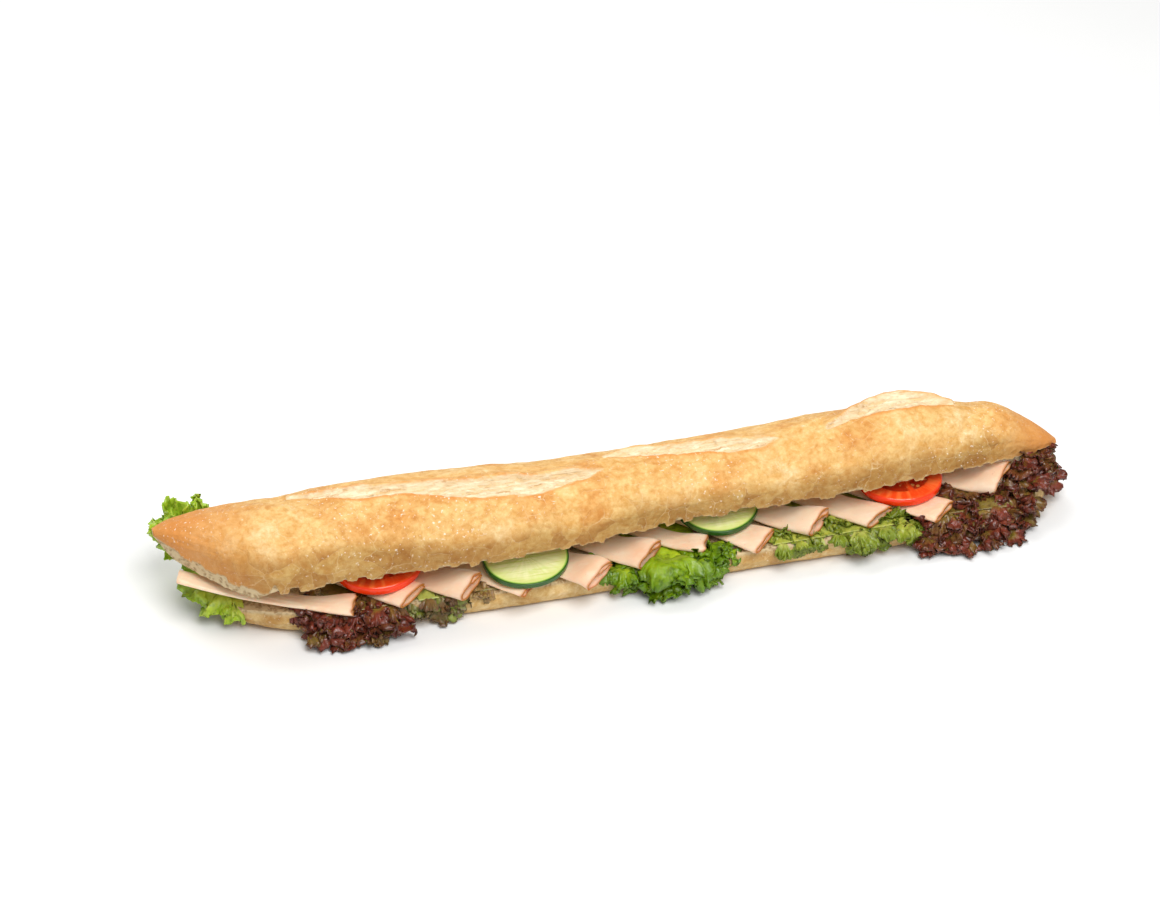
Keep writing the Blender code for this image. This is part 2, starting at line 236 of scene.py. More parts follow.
def tinted(tree, tone, layers):
    """The tone under layers of colour, each shown up to its most where its pattern passes its range."""
    for pattern, start, end, most, colour in layers:
        share = add_node(tree, "MapRange", {"Value": pattern, 1: start, 2: end, 3: 0.0, 4: most}).outputs[0]
        tone = add_node(tree, "MixRGB", {"Fac": share, "Color1": tone, "Color2": linear(colour)}).outputs[0]
    return tone


def close_finish(tree, shader, tone, height, depth, strength, surface):
    """Joins a finish's colour and relief to its surface, and sets the surface's own values."""
    relief = add_node(tree, "Bump", {"Height": height, "Distance": depth, "Strength": strength})
    tree.links.new(tone, shader.inputs["Base Color"])
    tree.links.new(relief.outputs[0], shader.inputs["Normal"])
    for name, value in surface.items():
        shader.inputs[name].default_value = value


def crust_finish(name, golden, deep, flour_amount):
    """Baked wheat crust over cream crumb: matt, finely crackled into plates of about 11 mm."""
    finish, tree, shader = new_finish(name)
    place = add_node(tree, "TexCoord").outputs["Object"]
    crumb, torn, toast_and_ear_shadow, low = (add_node(tree, "Attribute", attribute_name=mark).outputs["Fac"]
                                 for mark in LOAF_MARKS)
    # Crackle: plates bent by noise so that no edge is straight, plainest near the cut as painted shade.
    wander = add_node(tree, "TexNoise", {"Vector": place, "Scale": 70.0, "Detail": 3.0}).outputs["Color"]
    bent = add_node(tree, "VectorMath", {0: wander, 1: (0.011,) * 3, 2: place},
                    operation="MULTIPLY_ADD").outputs[0]
    plates = add_node(tree, "TexVoronoi", {"Vector": bent, "Scale": PLATES_PER_METRE}).outputs["Color"]
    edges = add_node(tree, "TexVoronoi", {"Vector": bent, "Scale": PLATES_PER_METRE},
                     feature="DISTANCE_TO_EDGE").outputs["Distance"]
    crack = add_node(tree, "MapRange", {"Value": edges, 1: 0.0, 2: 0.028, 3: 1.0, 4: 0.0}).outputs[0]
    own_tone = add_node(tree, "SeparateColor", {"Color": plates}).outputs[0]
    # Baking: patches of deeper gold 30 mm across, pale ones between them, and blisters of 5 mm.
    wide = add_node(tree, "TexNoise", {"Vector": place, "Scale": 32.0, "Detail": 4.0,
                                       "Roughness": 0.6}).outputs["Fac"]
    blisters = add_node(tree, "TexNoise", {"Vector": bent, "Scale": 210.0, "Detail": 3.0,
                                           "Roughness": 0.55}).outputs["Fac"]
    blister = add_node(tree, "MapRange", {"Value": blisters, 1: 0.38, 2: 0.66, 3: 0.0, 4: 0.8}).outputs[0]
    fine = add_node(tree, "TexNoise", {"Vector": place, "Scale": 420.0, "Detail": 6.0,
                                       "Roughness": 0.75}).outputs["Fac"]
    grain = add_node(tree, "MapRange", {"Value": fine, 1: 0.3, 2: 0.7, 3: 0.0, 4: 1.0}).outputs[0]
    # Painted shade: the low mark darkens the crust to olive tan along its cut edge.
    skin = tinted(tree, linear(golden), ((wide, 0.5, 0.68, 1.0, deep), (wide, 0.46, 0.32, 0.75, "FAE6BC"),
                                         (low, 0.0, 1.0, 0.8, "BE9C5C")))
    # Each plate's tone differs at random; near the cut edge the low mark deepens it as painted shade.
    plate_share = add_node(tree, "MapRange", {"Value": low, 1: 0.0, 2: 1.0, 3: 0.12, 4: 0.75}).outputs[0]
    plate_share = add_node(tree, "Math", {0: own_tone, 1: plate_share}, operation="MULTIPLY").outputs[0]
    for share, tone in ((plate_share, "D2B68A"), (blister, "E6CC9A"), (grain, "E8D6B4")):
        tone_and_painted_shade = add_node(tree, "MixRGB", {"Fac": share, "Color1": linear("FFFFFF"), "Color2": linear(tone)})
        skin = add_node(tree, "MixRGB", {"Fac": 1.0, "Color1": skin, "Color2": tone_and_painted_shade.outputs[0]},
                        blend_type="MULTIPLY").outputs[0]
    shown = add_node(tree, "MapRange", {"Value": wander, 1: 0.48, 2: 0.62, 3: 0.0, 4: 0.32}).outputs[0]
    shown = add_node(tree, "Math", {0: plate_share, 1: 0.28, 2: shown}, operation="MULTIPLY_ADD").outputs[0]
    faint = add_node(tree, "Math", {0: crack, 1: shown}, operation="MULTIPLY").outputs[0]
    # Flour: specks under a millimetre, thicker in some places.
    dust = add_node(tree, "TexNoise", {"Vector": place, "Scale": 620.0, "Detail": 3.0}).outputs["Fac"]
    speck = add_node(tree, "MapRange", {"Value": dust, 1: 0.63, 2: 0.7, 3: 0.0, 4: flour_amount}).outputs[0]
    strewn = add_node(tree, "TexNoise", {"Vector": place, "Scale": 16.0, "Detail": 2.0}).outputs["Fac"]
    where = add_node(tree, "MapRange", {"Value": strewn, 1: 0.45, 2: 0.62, 3: 0.12, 4: 1.0}).outputs[0]
    speck = add_node(tree, "Math", {0: speck, 1: where}, operation="MULTIPLY").outputs[0]
    # Light crack lines, toast with the painted shadow line under each ear, and flour specks.
    for share, tone in ((faint, "F2DCAC"), (toast_and_ear_shadow, "D68A40"), (speck, "FAF3E2")):
        skin = add_node(tree, "MixRGB", {"Fac": share, "Color1": skin, "Color2": linear(tone)}).outputs[0]
    # Torn crumb in the slashes: strings along the loaf, about 2 mm apart, painted shade between, darker
    # pits.
    strung = add_node(tree, "Mapping", {"Vector": place, "Scale": (0.16, 1.0, 1.0)}).outputs[0]
    strings = add_node(tree, "TexNoise", {"Vector": strung, "Scale": 480.0, "Detail": 5.0,
                                          "Roughness": 0.6}).outputs["Fac"]
    strings = add_node(tree, "MapRange", {"Value": strings, 1: 0.36, 2: 0.62, 3: 0.0, 4: 1.0}).outputs[0]
    pits = add_node(tree, "TexNoise", {"Vector": strung, "Scale": 260.0, "Detail": 4.0,
                                       "Roughness": 0.6}).outputs["Fac"]
    tear = add_node(tree, "MixRGB", {"Fac": strings, "Color1": linear("E2C08C"),
                                     "Color2": linear("F2DFBC")}).outputs[0]
    tear = tinted(tree, tear, ((pits, 0.6, 0.7, 0.8, "C08A4C"),))
    # Cut crumb: cream darkened to beige as painted shade, pores of 1 to 3 mm darker still as painted shade.
    pores = add_node(tree, "TexVoronoi", {"Vector": bent, "Scale": 400.0}).outputs["Distance"]
    pore = add_node(tree, "MapRange", {"Value": pores, 1: 0.15, 2: 0.55, 3: 0.0, 4: 1.0}).outputs[0]
    soft = add_node(tree, "MixRGB", {"Fac": pore, "Color1": linear("AA8A60"),
                                     "Color2": linear("CFB88E")}).outputs[0]
    # Relief: crackle a tenth of a millimetre deep on the skin, strings and pores where it is torn or cut.
    height = add_node(tree, "Math", {0: crack, 1: -0.15}, operation="MULTIPLY").outputs[0]
    for hump, share in ((grain, 0.3), (blister, -0.5)):
        height = add_node(tree, "Math", {0: hump, 1: share, 2: height}, operation="MULTIPLY_ADD").outputs[0]
    for share, cover, rough in ((torn, tear, strings), (crumb, soft, pore)):
        skin = add_node(tree, "MixRGB", {"Fac": share, "Color1": skin, "Color2": cover}).outputs[0]
        height = add_node(tree, "MixRGB", {"Fac": share, "Color1": height, "Color2": rough}).outputs[0]
    close_finish(tree, shader, skin, height, 0.0007, 0.9, {"Roughness": 0.62, "Specular IOR Level": 0.35})
    return finish


def base_ring(x):
    """The lower half's outline at x: its cut face from back to front, then its side and foot."""
    front, back_y, foot = profile_at(BASE_PROFILE, x)
    foot = max(foot, 0.0)
    width = back_y - front
    cut = BASE_CUT_HEIGHT - BASE_END_FALL * ease((foot - 2) / 7)
    edge_z = cut - BASE_EDGE_DROP
    side = foot + (cut - foot) * 0.55
    low = foot + (side - foot) * 0.3
    inset = min(BASE_FOOT_INSET, width * 0.2)
    lip = min(BASE_LIP, width * 0.1)
    ring = []
    for y in np.linspace(back_y - lip, front + lip, BASE_CUT_POINTS):
        rough = sum(high * bumps(x, y, 0, size, seed) for high, size, seed in CUT_ROUGHNESS)
        ring.append((x, y, cut + rough, *CUT_CRUMB))
    ragged = 0.65 * bumps(x, 0, 0, 7, 4)
    corners = ((front + lip * 0.3 + ragged, edge_z), (front + ragged, side), (front + inset * 0.35, low),
               (front + inset, foot), ((front + back_y) / 2, foot), (back_y - inset, foot),
               (back_y - inset * 0.35, low), (back_y, side), (back_y - lip * 0.3, edge_z))
    path = [ring[-1][1:3], *corners, ring[0][1:3]]
    for i, ((ya, za), (yb, zb)) in enumerate(zip(path, path[1:])):
        for step in range(1 if i == 0 else 0, BASE_SIDE_STEPS):
            along = step / BASE_SIDE_STEPS
            y, z = ya + (yb - ya) * along, za + (zb - za) * along
            edge = ease((z - (cut - 2.6)) / 2.0)
            pushed = 0.35 * bumps(x, y, z, 5, 11) if z > foot + 1 else 0
            out = -1 if y < (front + back_y) / 2 else 1
            ring.append((x, y + out * pushed, z, edge, 0, 0.3 * ease((foot + 3 - z) / 3), 0))
    return ring


base_crust = crust_finish("floury_lower_crust", "E6CE98", "BE9456", 0.5)
base_rings = [base_ring(x) for x in stations(BASE_PROFILE[0][0], BASE_PROFILE[-1][0], BASE_STATIONS)]
base = add_loaf_half("lower_bread", base_rings, base_crust)
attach(base, "root")
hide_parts("bread_base")

# The rolled slices of meat.
# Cooked poultry breast cut 1 mm thin, pale pink with a brown roasted rim, each slice folded into a
# flat roll whose mouth looks out at the front.
SLICE_THICK = 1.0
ROLL_FLOOR = 17.9
ROLL_DROOP = 4.0
ROLL_RISE = 21.0
ROLL_SETTLE = 28.5
ROLL_TURN = 33.5
ROLL_TAIL_HEIGHT = 4.2
ROLL_GAP_ANGLE = 16
ROLL_CROWDING = 1.7
ROLL_SQUARENESS = 0.85
ROLL_CURL_START = 335
SLANT_REACH = 16
RIND_WIDTH = 0.9
BREAD_EDGE = 32.5
ROLL_ROWS = 60
ROLL_COLUMNS = 90
# x, y, z of the mouth, yaw there, its width, height and tilt; the tail's width, lift and yaw; the whole
# length; how far the slice turns in under itself, in degrees; how far its back sticks out past its front
ROLLS = (
    (-160, -30, 21.5, 20, 17, 5.5, 6, 11, 14, 20, 98, 0, 0),
    (-127, -31, 20.0, 44, 20, 6.5, 14, 21, 0, 46, 72, 0, 4),
    (-94, -33, 21.5, 44, 20, 9.0, 22, 21, 0, 46, 75, 100, 2),
    (-61, -37, 17.3, 46, 19, 4.5, 6, 21, 0, 46, 79, 0, 1),
    (-22, -39, 21.5, 50, 22, 8.5, 20, 22, 0, 46, 79, 130, 2),
    (10, -30, 22.5, 43, 21, 9.5, 22, 22, 0, 46, 71, 110, 4),
    (44, -25, 22.0, 26, 15, 5.5, 6, 14, 0, 46, 69, 0, 0),
    (77, -31, 20.5, 46, 20, 5.5, 14, 18, 0, 46, 71, 0, 1),
    (111, -25, 22.8, 40, 20, 12.0, 20, 21, 0, 46, 63, 150, 4),
    (147, -26, 21.0, 46, 19, 7.0, 14, 20, 0, 46, 63, 0, 6),
    (185, -29, 20.0, 44, 20, 5.5, 8, 21, 0, 46, 68, 0, 2),
    (226, -12, 24.0, 28, 23, 13.0, 24, 22, 0, 46, 47, 140, 6),
)

# Cooked poultry breast: moist and fine-grained, a little see-through, with a roasted brown rim.
meat_finish, tree, shader = new_finish("cooked_poultry_breast")
place = add_node(tree, "TexCoord").outputs["Object"]
rind = add_node(tree, "Attribute", attribute_name="rind").outputs["Fac"]
laid = add_node(tree, "Mapping", {"Vector": place, "Rotation": (0, 0, 0.8),
                                  "Scale": (0.35, 1, 1)}).outputs[0]
grain = add_node(tree, "TexNoise", {"Vector": laid, "Scale": 420.0, "Detail": 5.0}).outputs["Fac"]
blush = add_node(tree, "TexNoise", {"Vector": place, "Scale": 55.0, "Detail": 3.0}).outputs["Fac"]
specks = add_node(tree, "TexNoise", {"Vector": place, "Scale": 700.0, "Detail": 2.0}).outputs["Fac"]
tone = tinted(tree, linear("FFDABC"), ((blush, 0.35, 0.7, 1.0, "F8C4A0"), (grain, 0.5, 0.75, 0.45, "FFE6D0"),
                                       (specks, 0.72, 0.78, 0.5, "B4714A")))
tone = add_node(tree, "MixRGB", {"Fac": rind, "Color1": tone, "Color2": linear("AC6A22")}).outputs[0]
close_finish(tree, shader, tone, grain, 0.0003, 0.4,
             {"Roughness": 0.4, "Subsurface Weight": 0.4, "Subsurface Scale": 0.003,
              "Subsurface Radius": (1.0, 0.45, 0.3)})


def thicken(made, thickness):
    """A sheet given its thickness, half to each side."""
    bpy.ops.object.select_all(action="DESELECT")
    made.select_set(True)
    bpy.context.view_layer.objects.active = made
    walls = made.modifiers.new("thickness", "SOLIDIFY")
    walls.thickness = thickness * MM
    walls.offset = 0
    bpy.ops.object.modifier_apply(modifier=walls.name)


def roll_floor(y):
    """The lowest a roll may lie at y: on the leaves, or lower where it hangs out at the front."""
    return ROLL_FLOOR - ROLL_DROOP * ease((-BREAD_EDGE - 4 - y) / 8)


def add_roll(index, x, y, z, yaw, width, height, tilt, tail_width, tail_lift, tail_yaw, length, curled,
             slant):
    """One slice folded into a flat roll, its free side turned in under itself."""
    up = np.array((0, 0, 1.0))
    turns = np.linspace(ROLL_GAP_ANGLE, 360 - ROLL_GAP_ANGLE + curled, ROLL_COLUMNS)
    place = np.array((x, y), float)
    distance = 0.0
    points, rinds = [], []
    for row in range(ROLL_ROWS):
        share = (row / (ROLL_ROWS - 1)) ** ROLL_CROWDING
        step = share * length - distance
        distance += step
        turn = math.radians(yaw + (tail_yaw - yaw) * ease(distance / ROLL_TURN))
        heading = np.array((-math.cos(turn), math.sin(turn)))
        place = place + heading * step
        settle = ease(distance / ROLL_SETTLE)
        half_width = (width + (tail_width - width) * settle - SLICE_THICK) / 2
        half_height = (height + (ROLL_TAIL_HEIGHT - height) * settle - SLICE_THICK) / 2
        lean = math.radians(tilt) * (1 - settle)
        rest = ROLL_FLOOR + half_height + SLICE_THICK / 2
        lift = (rest - z) * ease(distance / ROLL_RISE) + tail_lift * share * share
        side = np.array((heading[1], -heading[0], 0))
        across = side * math.cos(lean) + up * math.sin(lean)
        over = up * math.cos(lean) - side * math.sin(lean)
        section = []
        for at in turns:
            angle = math.radians(at)
            flat_cos = abs(math.cos(angle)) ** ROLL_SQUARENESS * math.copysign(1, math.cos(angle))
            inner = 1 - 0.5 * ease((at - ROLL_CURL_START) / 75)
            wave = 0.5 * bumps(at / 9, share * 14, index, 1.6, 31) * ease(share / 0.03)
            mouth = 1.3 * bumps(at / 40, index * 3, 0, 1.0, 33) * (1 - ease(share / 0.2))
            mouth -= slant * math.cos(angle) / 2 * (1 - ease(distance / SLANT_REACH))
            centre = np.array((*(place + heading * mouth), z + lift))
            section.append(centre + across * half_width * inner * flat_cos
                           + over * (half_height * inner * math.sin(angle) + 0.4 * wave))
            from_side = min(at - turns[0], turns[-1] - at) * half_width / 60
            rinds.append(math.exp(-(min(distance, from_side * 0.7) / RIND_WIDTH) ** 1.5))
        section = np.array(section)
        section[:, 2] += max(0.0, max(roll_floor(p[1]) + SLICE_THICK / 2 - p[2] for p in section))
        points += section.tolist()
    faces = []
    for i in range(ROLL_ROWS - 1):
        for j in range(ROLL_COLUMNS - 1):
            a = i * ROLL_COLUMNS + j
            faces.append((a, a + 1, a + ROLL_COLUMNS + 1, a + ROLL_COLUMNS))
    made = add_piece(f"rolled_slice_{index:02d}", points, faces, meat_finish, {"rind": rinds},
                     sharp_angle=180)
    thicken(made, SLICE_THICK)
    return made


slices = []
for index, roll in enumerate(ROLLS, start=1):
    piece = add_roll(index, *roll)
    slices.append(piece)
    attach(piece, "root")
    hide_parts(f"meat_roll_{index:02d}")

# The cucumber slices.
# Raw cucumber cut 3 mm thick: a thin dark green peel round pale, wet flesh with lighter spokes and a
# ring of seeds at the middle.
CUCUMBER_RADIUS = 24.5
CUCUMBER_THICK = 3.2
CUCUMBER_INSETS = (0.5, 0.7) + (2.1,) * 10
CUCUMBER_BEVEL = 0.45
SPOKES = 96
EDGE_SEGMENTS = 4
OUT_OF_ROUND = 0.015


def soften(t):
    """The smooth rise of ease, for an array."""
    t = np.clip(t, 0, 1)
    return t * t * (3 - 2 * t)


def select_cut_faces(made):
    """Both round faces of a slice selected, in edit mode."""
    bpy.ops.mesh.select_all(action="DESELECT")
    bpy.ops.object.mode_set(mode="OBJECT")
    for face in made.data.polygons:
        face.select = len(face.vertices) == SPOKES
    bpy.ops.object.mode_set(mode="EDIT")


def add_disc(name, radius, thickness, insets, bevel):
    """A round slice with its edge rounded, and with rings of faces on both sides."""
    bpy.ops.object.select_all(action="DESELECT")
    bpy.ops.mesh.primitive_cylinder_add(vertices=SPOKES, radius=radius * MM, depth=thickness * MM)
    made = bpy.context.object
    made.name = name
    bpy.ops.object.mode_set(mode="EDIT")
    bpy.ops.mesh.select_mode(type="EDGE")
    bpy.ops.mesh.select_all(action="DESELECT")
    bpy.ops.object.mode_set(mode="OBJECT")
    for edge in made.data.edges:
        edge.select = abs(sum(made.data.vertices[i].co.z for i in edge.vertices)) > thickness * MM * 0.9
    bpy.ops.object.mode_set(mode="EDIT")
    bpy.ops.mesh.bevel(offset=bevel * MM, segments=EDGE_SEGMENTS)
    bpy.ops.mesh.select_mode(type="FACE")
    for width in insets:
        select_cut_faces(made)
        bpy.ops.mesh.inset(thickness=width * MM, use_individual=True)
    select_cut_faces(made)
    bpy.ops.mesh.poke()
    bpy.ops.mesh.select_all(action="DESELECT")
    bpy.ops.object.mode_set(mode="OBJECT")
    return made


def finish_disc(made, place, radius, tilt, relief, finish):
    """Gives the slice its relief, marks and finish, and lays it in its place."""
    mesh = made.data
    flat = np.zeros(len(mesh.vertices) * 3)
    mesh.vertices.foreach_get("co", flat)
    flat = flat.reshape(-1, 3)
    share = np.hypot(flat[:, 0], flat[:, 1]) / (radius * MM)
    turn = np.arctan2(flat[:, 1], flat[:, 0])
    spokes = np.stack((np.cos(turn), np.sin(turn), share), -1).astype(np.float32)
    mesh.attributes.new("spoke", "FLOAT_VECTOR", "POINT").data.foreach_set("vector", spokes.ravel())
    mark_points(mesh, "share", share)
    flat[:, :2] *= (1 + OUT_OF_ROUND * np.sin(3 * turn + place[0]))[:, None]
    flat[:, 2] += np.sign(flat[:, 2]) * relief(share, turn) * MM
    lean = math.radians(tilt)
    y, z = flat[:, 1].copy(), flat[:, 2].copy()
    flat[:, 1] = y * math.cos(lean) - z * math.sin(lean)
    flat[:, 2] = y * math.sin(lean) + z * math.cos(lean)
    flat += np.array(place) * MM
    mesh.vertices.foreach_set("co", flat.ravel())
    mesh.shade_smooth()
    mesh.set_sharp_from_angle(angle=math.radians(SHARP_ANGLE))
    mesh.materials.append(finish)
    mesh.update()


# Wet cucumber flesh in its peel: watery, so it is glossy and lets light through.
cucumber_finish, tree, shader = new_finish("wet_cucumber")
share = add_node(tree, "Attribute", attribute_name="share").outputs["Fac"]
spoke = add_node(tree, "Attribute", attribute_name="spoke").outputs["Vector"]
stretched = add_node(tree, "Mapping", {"Vector": spoke, "Scale": (9.0, 9.0, 1.6)}).outputs[0]
rays = add_node(tree, "TexNoise", {"Vector": stretched, "Scale": 1.0, "Detail": 3.0}).outputs["Fac"]
place = add_node(tree, "TexCoord").outputs["Object"]
drawn = add_node(tree, "Mapping", {"Vector": place, "Rotation": (0, 0, 1.0),
                                   "Scale": (0.06, 1.0, 0.5)}).outputs[0]
marks = add_node(tree, "TexNoise", {"Vector": drawn, "Scale": 700.0, "Detail": 2.0}).outputs["Fac"]
flesh = tinted(tree, linear("E6E8A4"), (
    (rays, 0.36, 0.7, 1.0, "F2F2C0"), (marks, 0.48, 0.62, 0.75, "CFDB7C"),
    (share, 0.72, 0.93, 1.0, "DCE48C"), (share, 0.925, 0.955, 1.0, "8FBF48"),
    (share, 0.955, 0.975, 1.0, "2A5618")))
close_finish(tree, shader, flesh, rays, 0.0006, 0.35,
             {"Roughness": 0.22, "Subsurface Weight": 0.4, "Subsurface Scale": 0.003,
              "Subsurface Radius": (0.6, 1.0, 0.35)})


def cucumber_relief(share, turn):
    """The seed core sinks a little, with three lobes."""
    core = 0.42 + 0.08 * np.cos(3 * turn)
    return -0.35 * soften((core - share) / 0.08) + 0.12 * np.sin(17 * turn) * soften((0.9 - share) / 0.3)


for name, node, place, tilt in (
        ("cucumber_left_fine", "cucumber_slice_left", (-60, -17.5, 27.2), 8),
        ("cucumber_right_fine", "cucumber_slice_right", (57, 1, 28.4), 6)):
    disc = add_disc(name, CUCUMBER_RADIUS, CUCUMBER_THICK, CUCUMBER_INSETS, CUCUMBER_BEVEL)
    finish_disc(disc, place, CUCUMBER_RADIUS, tilt, cucumber_relief, cucumber_finish)
    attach(disc, "root")
    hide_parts(node)
    slices.append(disc)

# The tomato slices.
# Ripe tomato cut 5 to 6 mm thick: glossy red skin, orange-red walls, and cells of jelly with seeds.
TOMATO_RADIUS = 25.0
TOMATO_THICK = 5.6
TOMATO_INSETS = (1.0,) * 20
TOMATO_BEVEL = 1.6
TOMATO_CELLS = 5
TOMATO_CELL_DEPTH = 1.1


def cell_depth(share, turn):
    """How far a place on the cut lies inside one of the seed cells, 0 to 1."""
    wall = np.abs(np.sin(TOMATO_CELLS * turn / 2 + 0.4))
    sides = soften((wall * share - 0.1) / 0.12)
    return sides * soften((share - 0.34) / 0.08) * soften((0.7 - share) / 0.06)


def tomato_relief(share, turn):
    """The jelly of the seed cells lies below the walls."""
    return -TOMATO_CELL_DEPTH * cell_depth(share, turn)


# Ripe tomato: watery flesh under a waxy skin, both glossy.
tomato_finish, tree, shader = new_finish("ripe_tomato")
place = add_node(tree, "TexCoord").outputs["Object"]
share = add_node(tree, "Attribute", attribute_name="share").outputs["Fac"]
cell = add_node(tree, "Attribute", attribute_name="cell").outputs["Fac"]
spoke = add_node(tree, "Attribute", attribute_name="spoke").outputs["Vector"]
stretched = add_node(tree, "Mapping", {"Vector": spoke, "Scale": (7.0, 7.0, 2.0)}).outputs[0]
rays = add_node(tree, "TexNoise", {"Vector": stretched, "Scale": 1.0, "Detail": 4.0}).outputs["Fac"]
flesh = tinted(tree, linear("F24C18"), ((rays, 0.4, 0.65, 1.0, "FB7434"),))
seeds = add_node(tree, "TexVoronoi", {"Vector": place, "Scale": 230.0}).outputs["Distance"]
seed = add_node(tree, "MapRange", {"Value": seeds, 1: 0.3, 2: 0.2, 3: 0.0, 4: 0.85}).outputs[0]
seed = add_node(tree, "Math", {0: seed, 1: cell}, operation="MULTIPLY").outputs[0]
for amount, tone in ((cell, "C23412"), (seed, "F0B466")):
    flesh = add_node(tree, "MixRGB", {"Fac": amount, "Color1": flesh, "Color2": linear(tone)}).outputs[0]
flesh = tinted(tree, flesh, ((share, 0.955, 0.985, 1.0, "EE3A0C"),))
close_finish(tree, shader, flesh, rays, 0.0005, 0.3,
             {"Roughness": 0.16, "Subsurface Weight": 0.3, "Subsurface Scale": 0.003,
              "Subsurface Radius": (1.0, 0.3, 0.15)})

for name, node, place, tilt in (
        ("tomato_left_fine", "tomato_slice_left", (-142, -5, 29.2), 5),
        ("tomato_right_fine", "tomato_slice_right", (167, 2, 28.6), 6)):
    disc = add_disc(name, TOMATO_RADIUS, TOMATO_THICK, TOMATO_INSETS, TOMATO_BEVEL)
    finish_disc(disc, place, TOMATO_RADIUS, tilt, tomato_relief, tomato_finish)
    spokes = np.zeros(len(disc.data.vertices) * 3, np.float32)
    disc.data.attributes["spoke"].data.foreach_get("vector", spokes)
    spokes = spokes.reshape(-1, 3)
    mark_points(disc.data, "cell", cell_depth(spokes[:, 2], np.arctan2(spokes[:, 1], spokes[:, 0])))
    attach(disc, "root")
    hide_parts(node)
    slices.append(disc)

# The salad leaves.
# Lollo lettuce, green, pale and red: each leaf lies on the cut bread, under and between the slices, and
# its outer part spills over the edge in lobes, a third of a millimetre thick, with ruffled rims.
LEAF_THICK = 0.35
LEAF_BED = 17.1
LEAF_ABOVE_CUT = 0.9
LEAF_BEFORE_CRUST = 1.0
TABLE_BEND = 4.0
SLICE_GAP = 0.35
BED_ROWS = 36
BED_COLUMNS = 60
LOBE_ROWS = 15
LOBE_COLUMNS = 92
LOBE_NECK = 0.22
TOOTH = 2.2
FRILL_ROWS = 8
FRILL_COLUMNS = 36
FRILL_HANG = 24


def rough_line(values, size, seed):
    """Unevenness along a line, an array."""
    return np.array([noise.noise(Vector((v / size, seed * 7.7, 0.5))) for v in values])


def rough_sheet(u, v, across, along, seed):
    """Unevenness over a sheet, with a row for each v."""
    return np.array([[noise.noise(Vector((across * a, along * b, seed))) for a in u] for b in v])


def lobe(root, heading, roll, length, spread, pitch, ruffle, waves, seed, rows, columns):
    """The points of one ruffled lobe, a fan from its root, and how near each is to the rim."""
    u = np.linspace(-1, 1, columns)
    v = np.linspace(0, 1, rows) ** 0.8
    fan = np.radians(spread * u)[None, :]
    tooth = TOOTH / (math.radians(spread) * length)
    reach = length * (1 - 0.15 * u**2) * (1 + 0.2 * rough_line(u, 0.35, seed))
    reach += 1.2 * rough_line(u, tooth * 0.6, seed + 3) + 1.0 * rough_line(u, tooth * 1.7, seed + 4)
    start, end = np.radians(pitch[0]), np.radians(pitch[1])
    lean = start + (end - start) * v[:, None] ** 1.4 + 0.35 * rough_line(u, 0.5, seed + 5)[None, :]
    step = np.diff(v, prepend=0)[:, None] * reach
    neck = LOBE_NECK * length
    out = neck + np.cumsum(np.cos(lean) * step, axis=0)
    height = np.cumsum(np.sin(lean) * step, axis=0)
    crumple = rough_sheet(u, v, 2.6, 2.2, seed * 1.9)
    blisters = rough_sheet(u, v, 7, 5, seed * 2.3)
    crumpled = min(length / 16, 1.0)
    phase = math.pi * waves * u[None, :] + 5 * crumpled * crumple + 1.2 * v[:, None] + seed
    ruffle = ruffle * (1 + 0.9 * rough_line(u, 0.3, seed + 15))[None, :]
    second = 2.7 * phase + 1.3 + 2.5 * rough_line(u, 0.3, seed + 11)[None, :]
    third = 6.3 * phase + 0.7 + 3 * rough_line(u, 0.2, seed + 13)[None, :]
    wide, fine = soften((v - 0.2) / 0.8)[:, None], soften((v - 0.5) / 0.5)[:, None]
    lift = 0.85 * wide * np.sin(phase) + 0.5 * fine * np.sin(second) + 0.22 * fine**2 * np.sin(third)
    lift = ruffle * lift + 0.5 * crumpled * ruffle * blisters * wide
    slide = ruffle * (0.45 * wide * np.sin(2 * phase) + 0.3 * fine * np.sin(2 * second))
    far = out - np.sin(lean) * lift
    forward = far * np.cos(fan) - slide * np.sin(fan) - neck
    sideways = far * np.sin(fan) + slide * np.cos(fan)
    height = height + np.cos(lean) * lift
    turned, rolled = math.radians(heading), math.radians(roll)
    sideways, height = (sideways * math.cos(rolled) - height * math.sin(rolled),
                        sideways * math.sin(rolled) + height * math.cos(rolled))
    points = np.stack((root[0] - forward * math.sin(turned) + sideways * math.cos(turned),
                       root[1] - forward * math.cos(turned) - sideways * math.sin(turned),
                       root[2] + height), axis=-1)
    return points, np.repeat(v[:, None], columns, axis=1)


def frills(x_from, x_to, ahead, heights, count, size, seed):
    """Small lobes spread over the hanging part of a leaf in clumps, each turned its own way."""
    random = np.random.default_rng(seed)
    columns = max(round(math.sqrt(count * (x_to - x_from) / FRILL_HANG)), 1)
    rows = max(round(count / columns), 1)
    made = []
    for i in range(rows):
        for j in range(columns):
            across = (j + random.uniform(0, 1)) / columns
            along = (i + random.uniform(0, 1)) / rows
            x = x_from + (x_to - x_from) * across
            along *= min(max(0.78 + 1.2 * bumps(x, 0, 0, 10, seed + 60), 0.15), 1.15)
            y = profile_at(BASE_PROFILE, x)[0] - (ahead[0] + (ahead[1] - ahead[0]) * along)
            z = heights[0] + (heights[1] - heights[0]) * along
            length = size * random.uniform(0.6, 1.3)
            start = random.uniform(-40, 50)
            made.append(lobe((x, y + 0.5 * length, z), 50 * (0.5 - across) + random.uniform(-50, 50),
                             random.uniform(-50, 50), length, random.uniform(40, 85),
                             (start, start - random.uniform(30, 120)), length * random.uniform(0.18, 0.32),
                             random.uniform(1.8, 3.4), seed + i * 3.7 + j * 1.3, FRILL_ROWS, FRILL_COLUMNS))
    return made


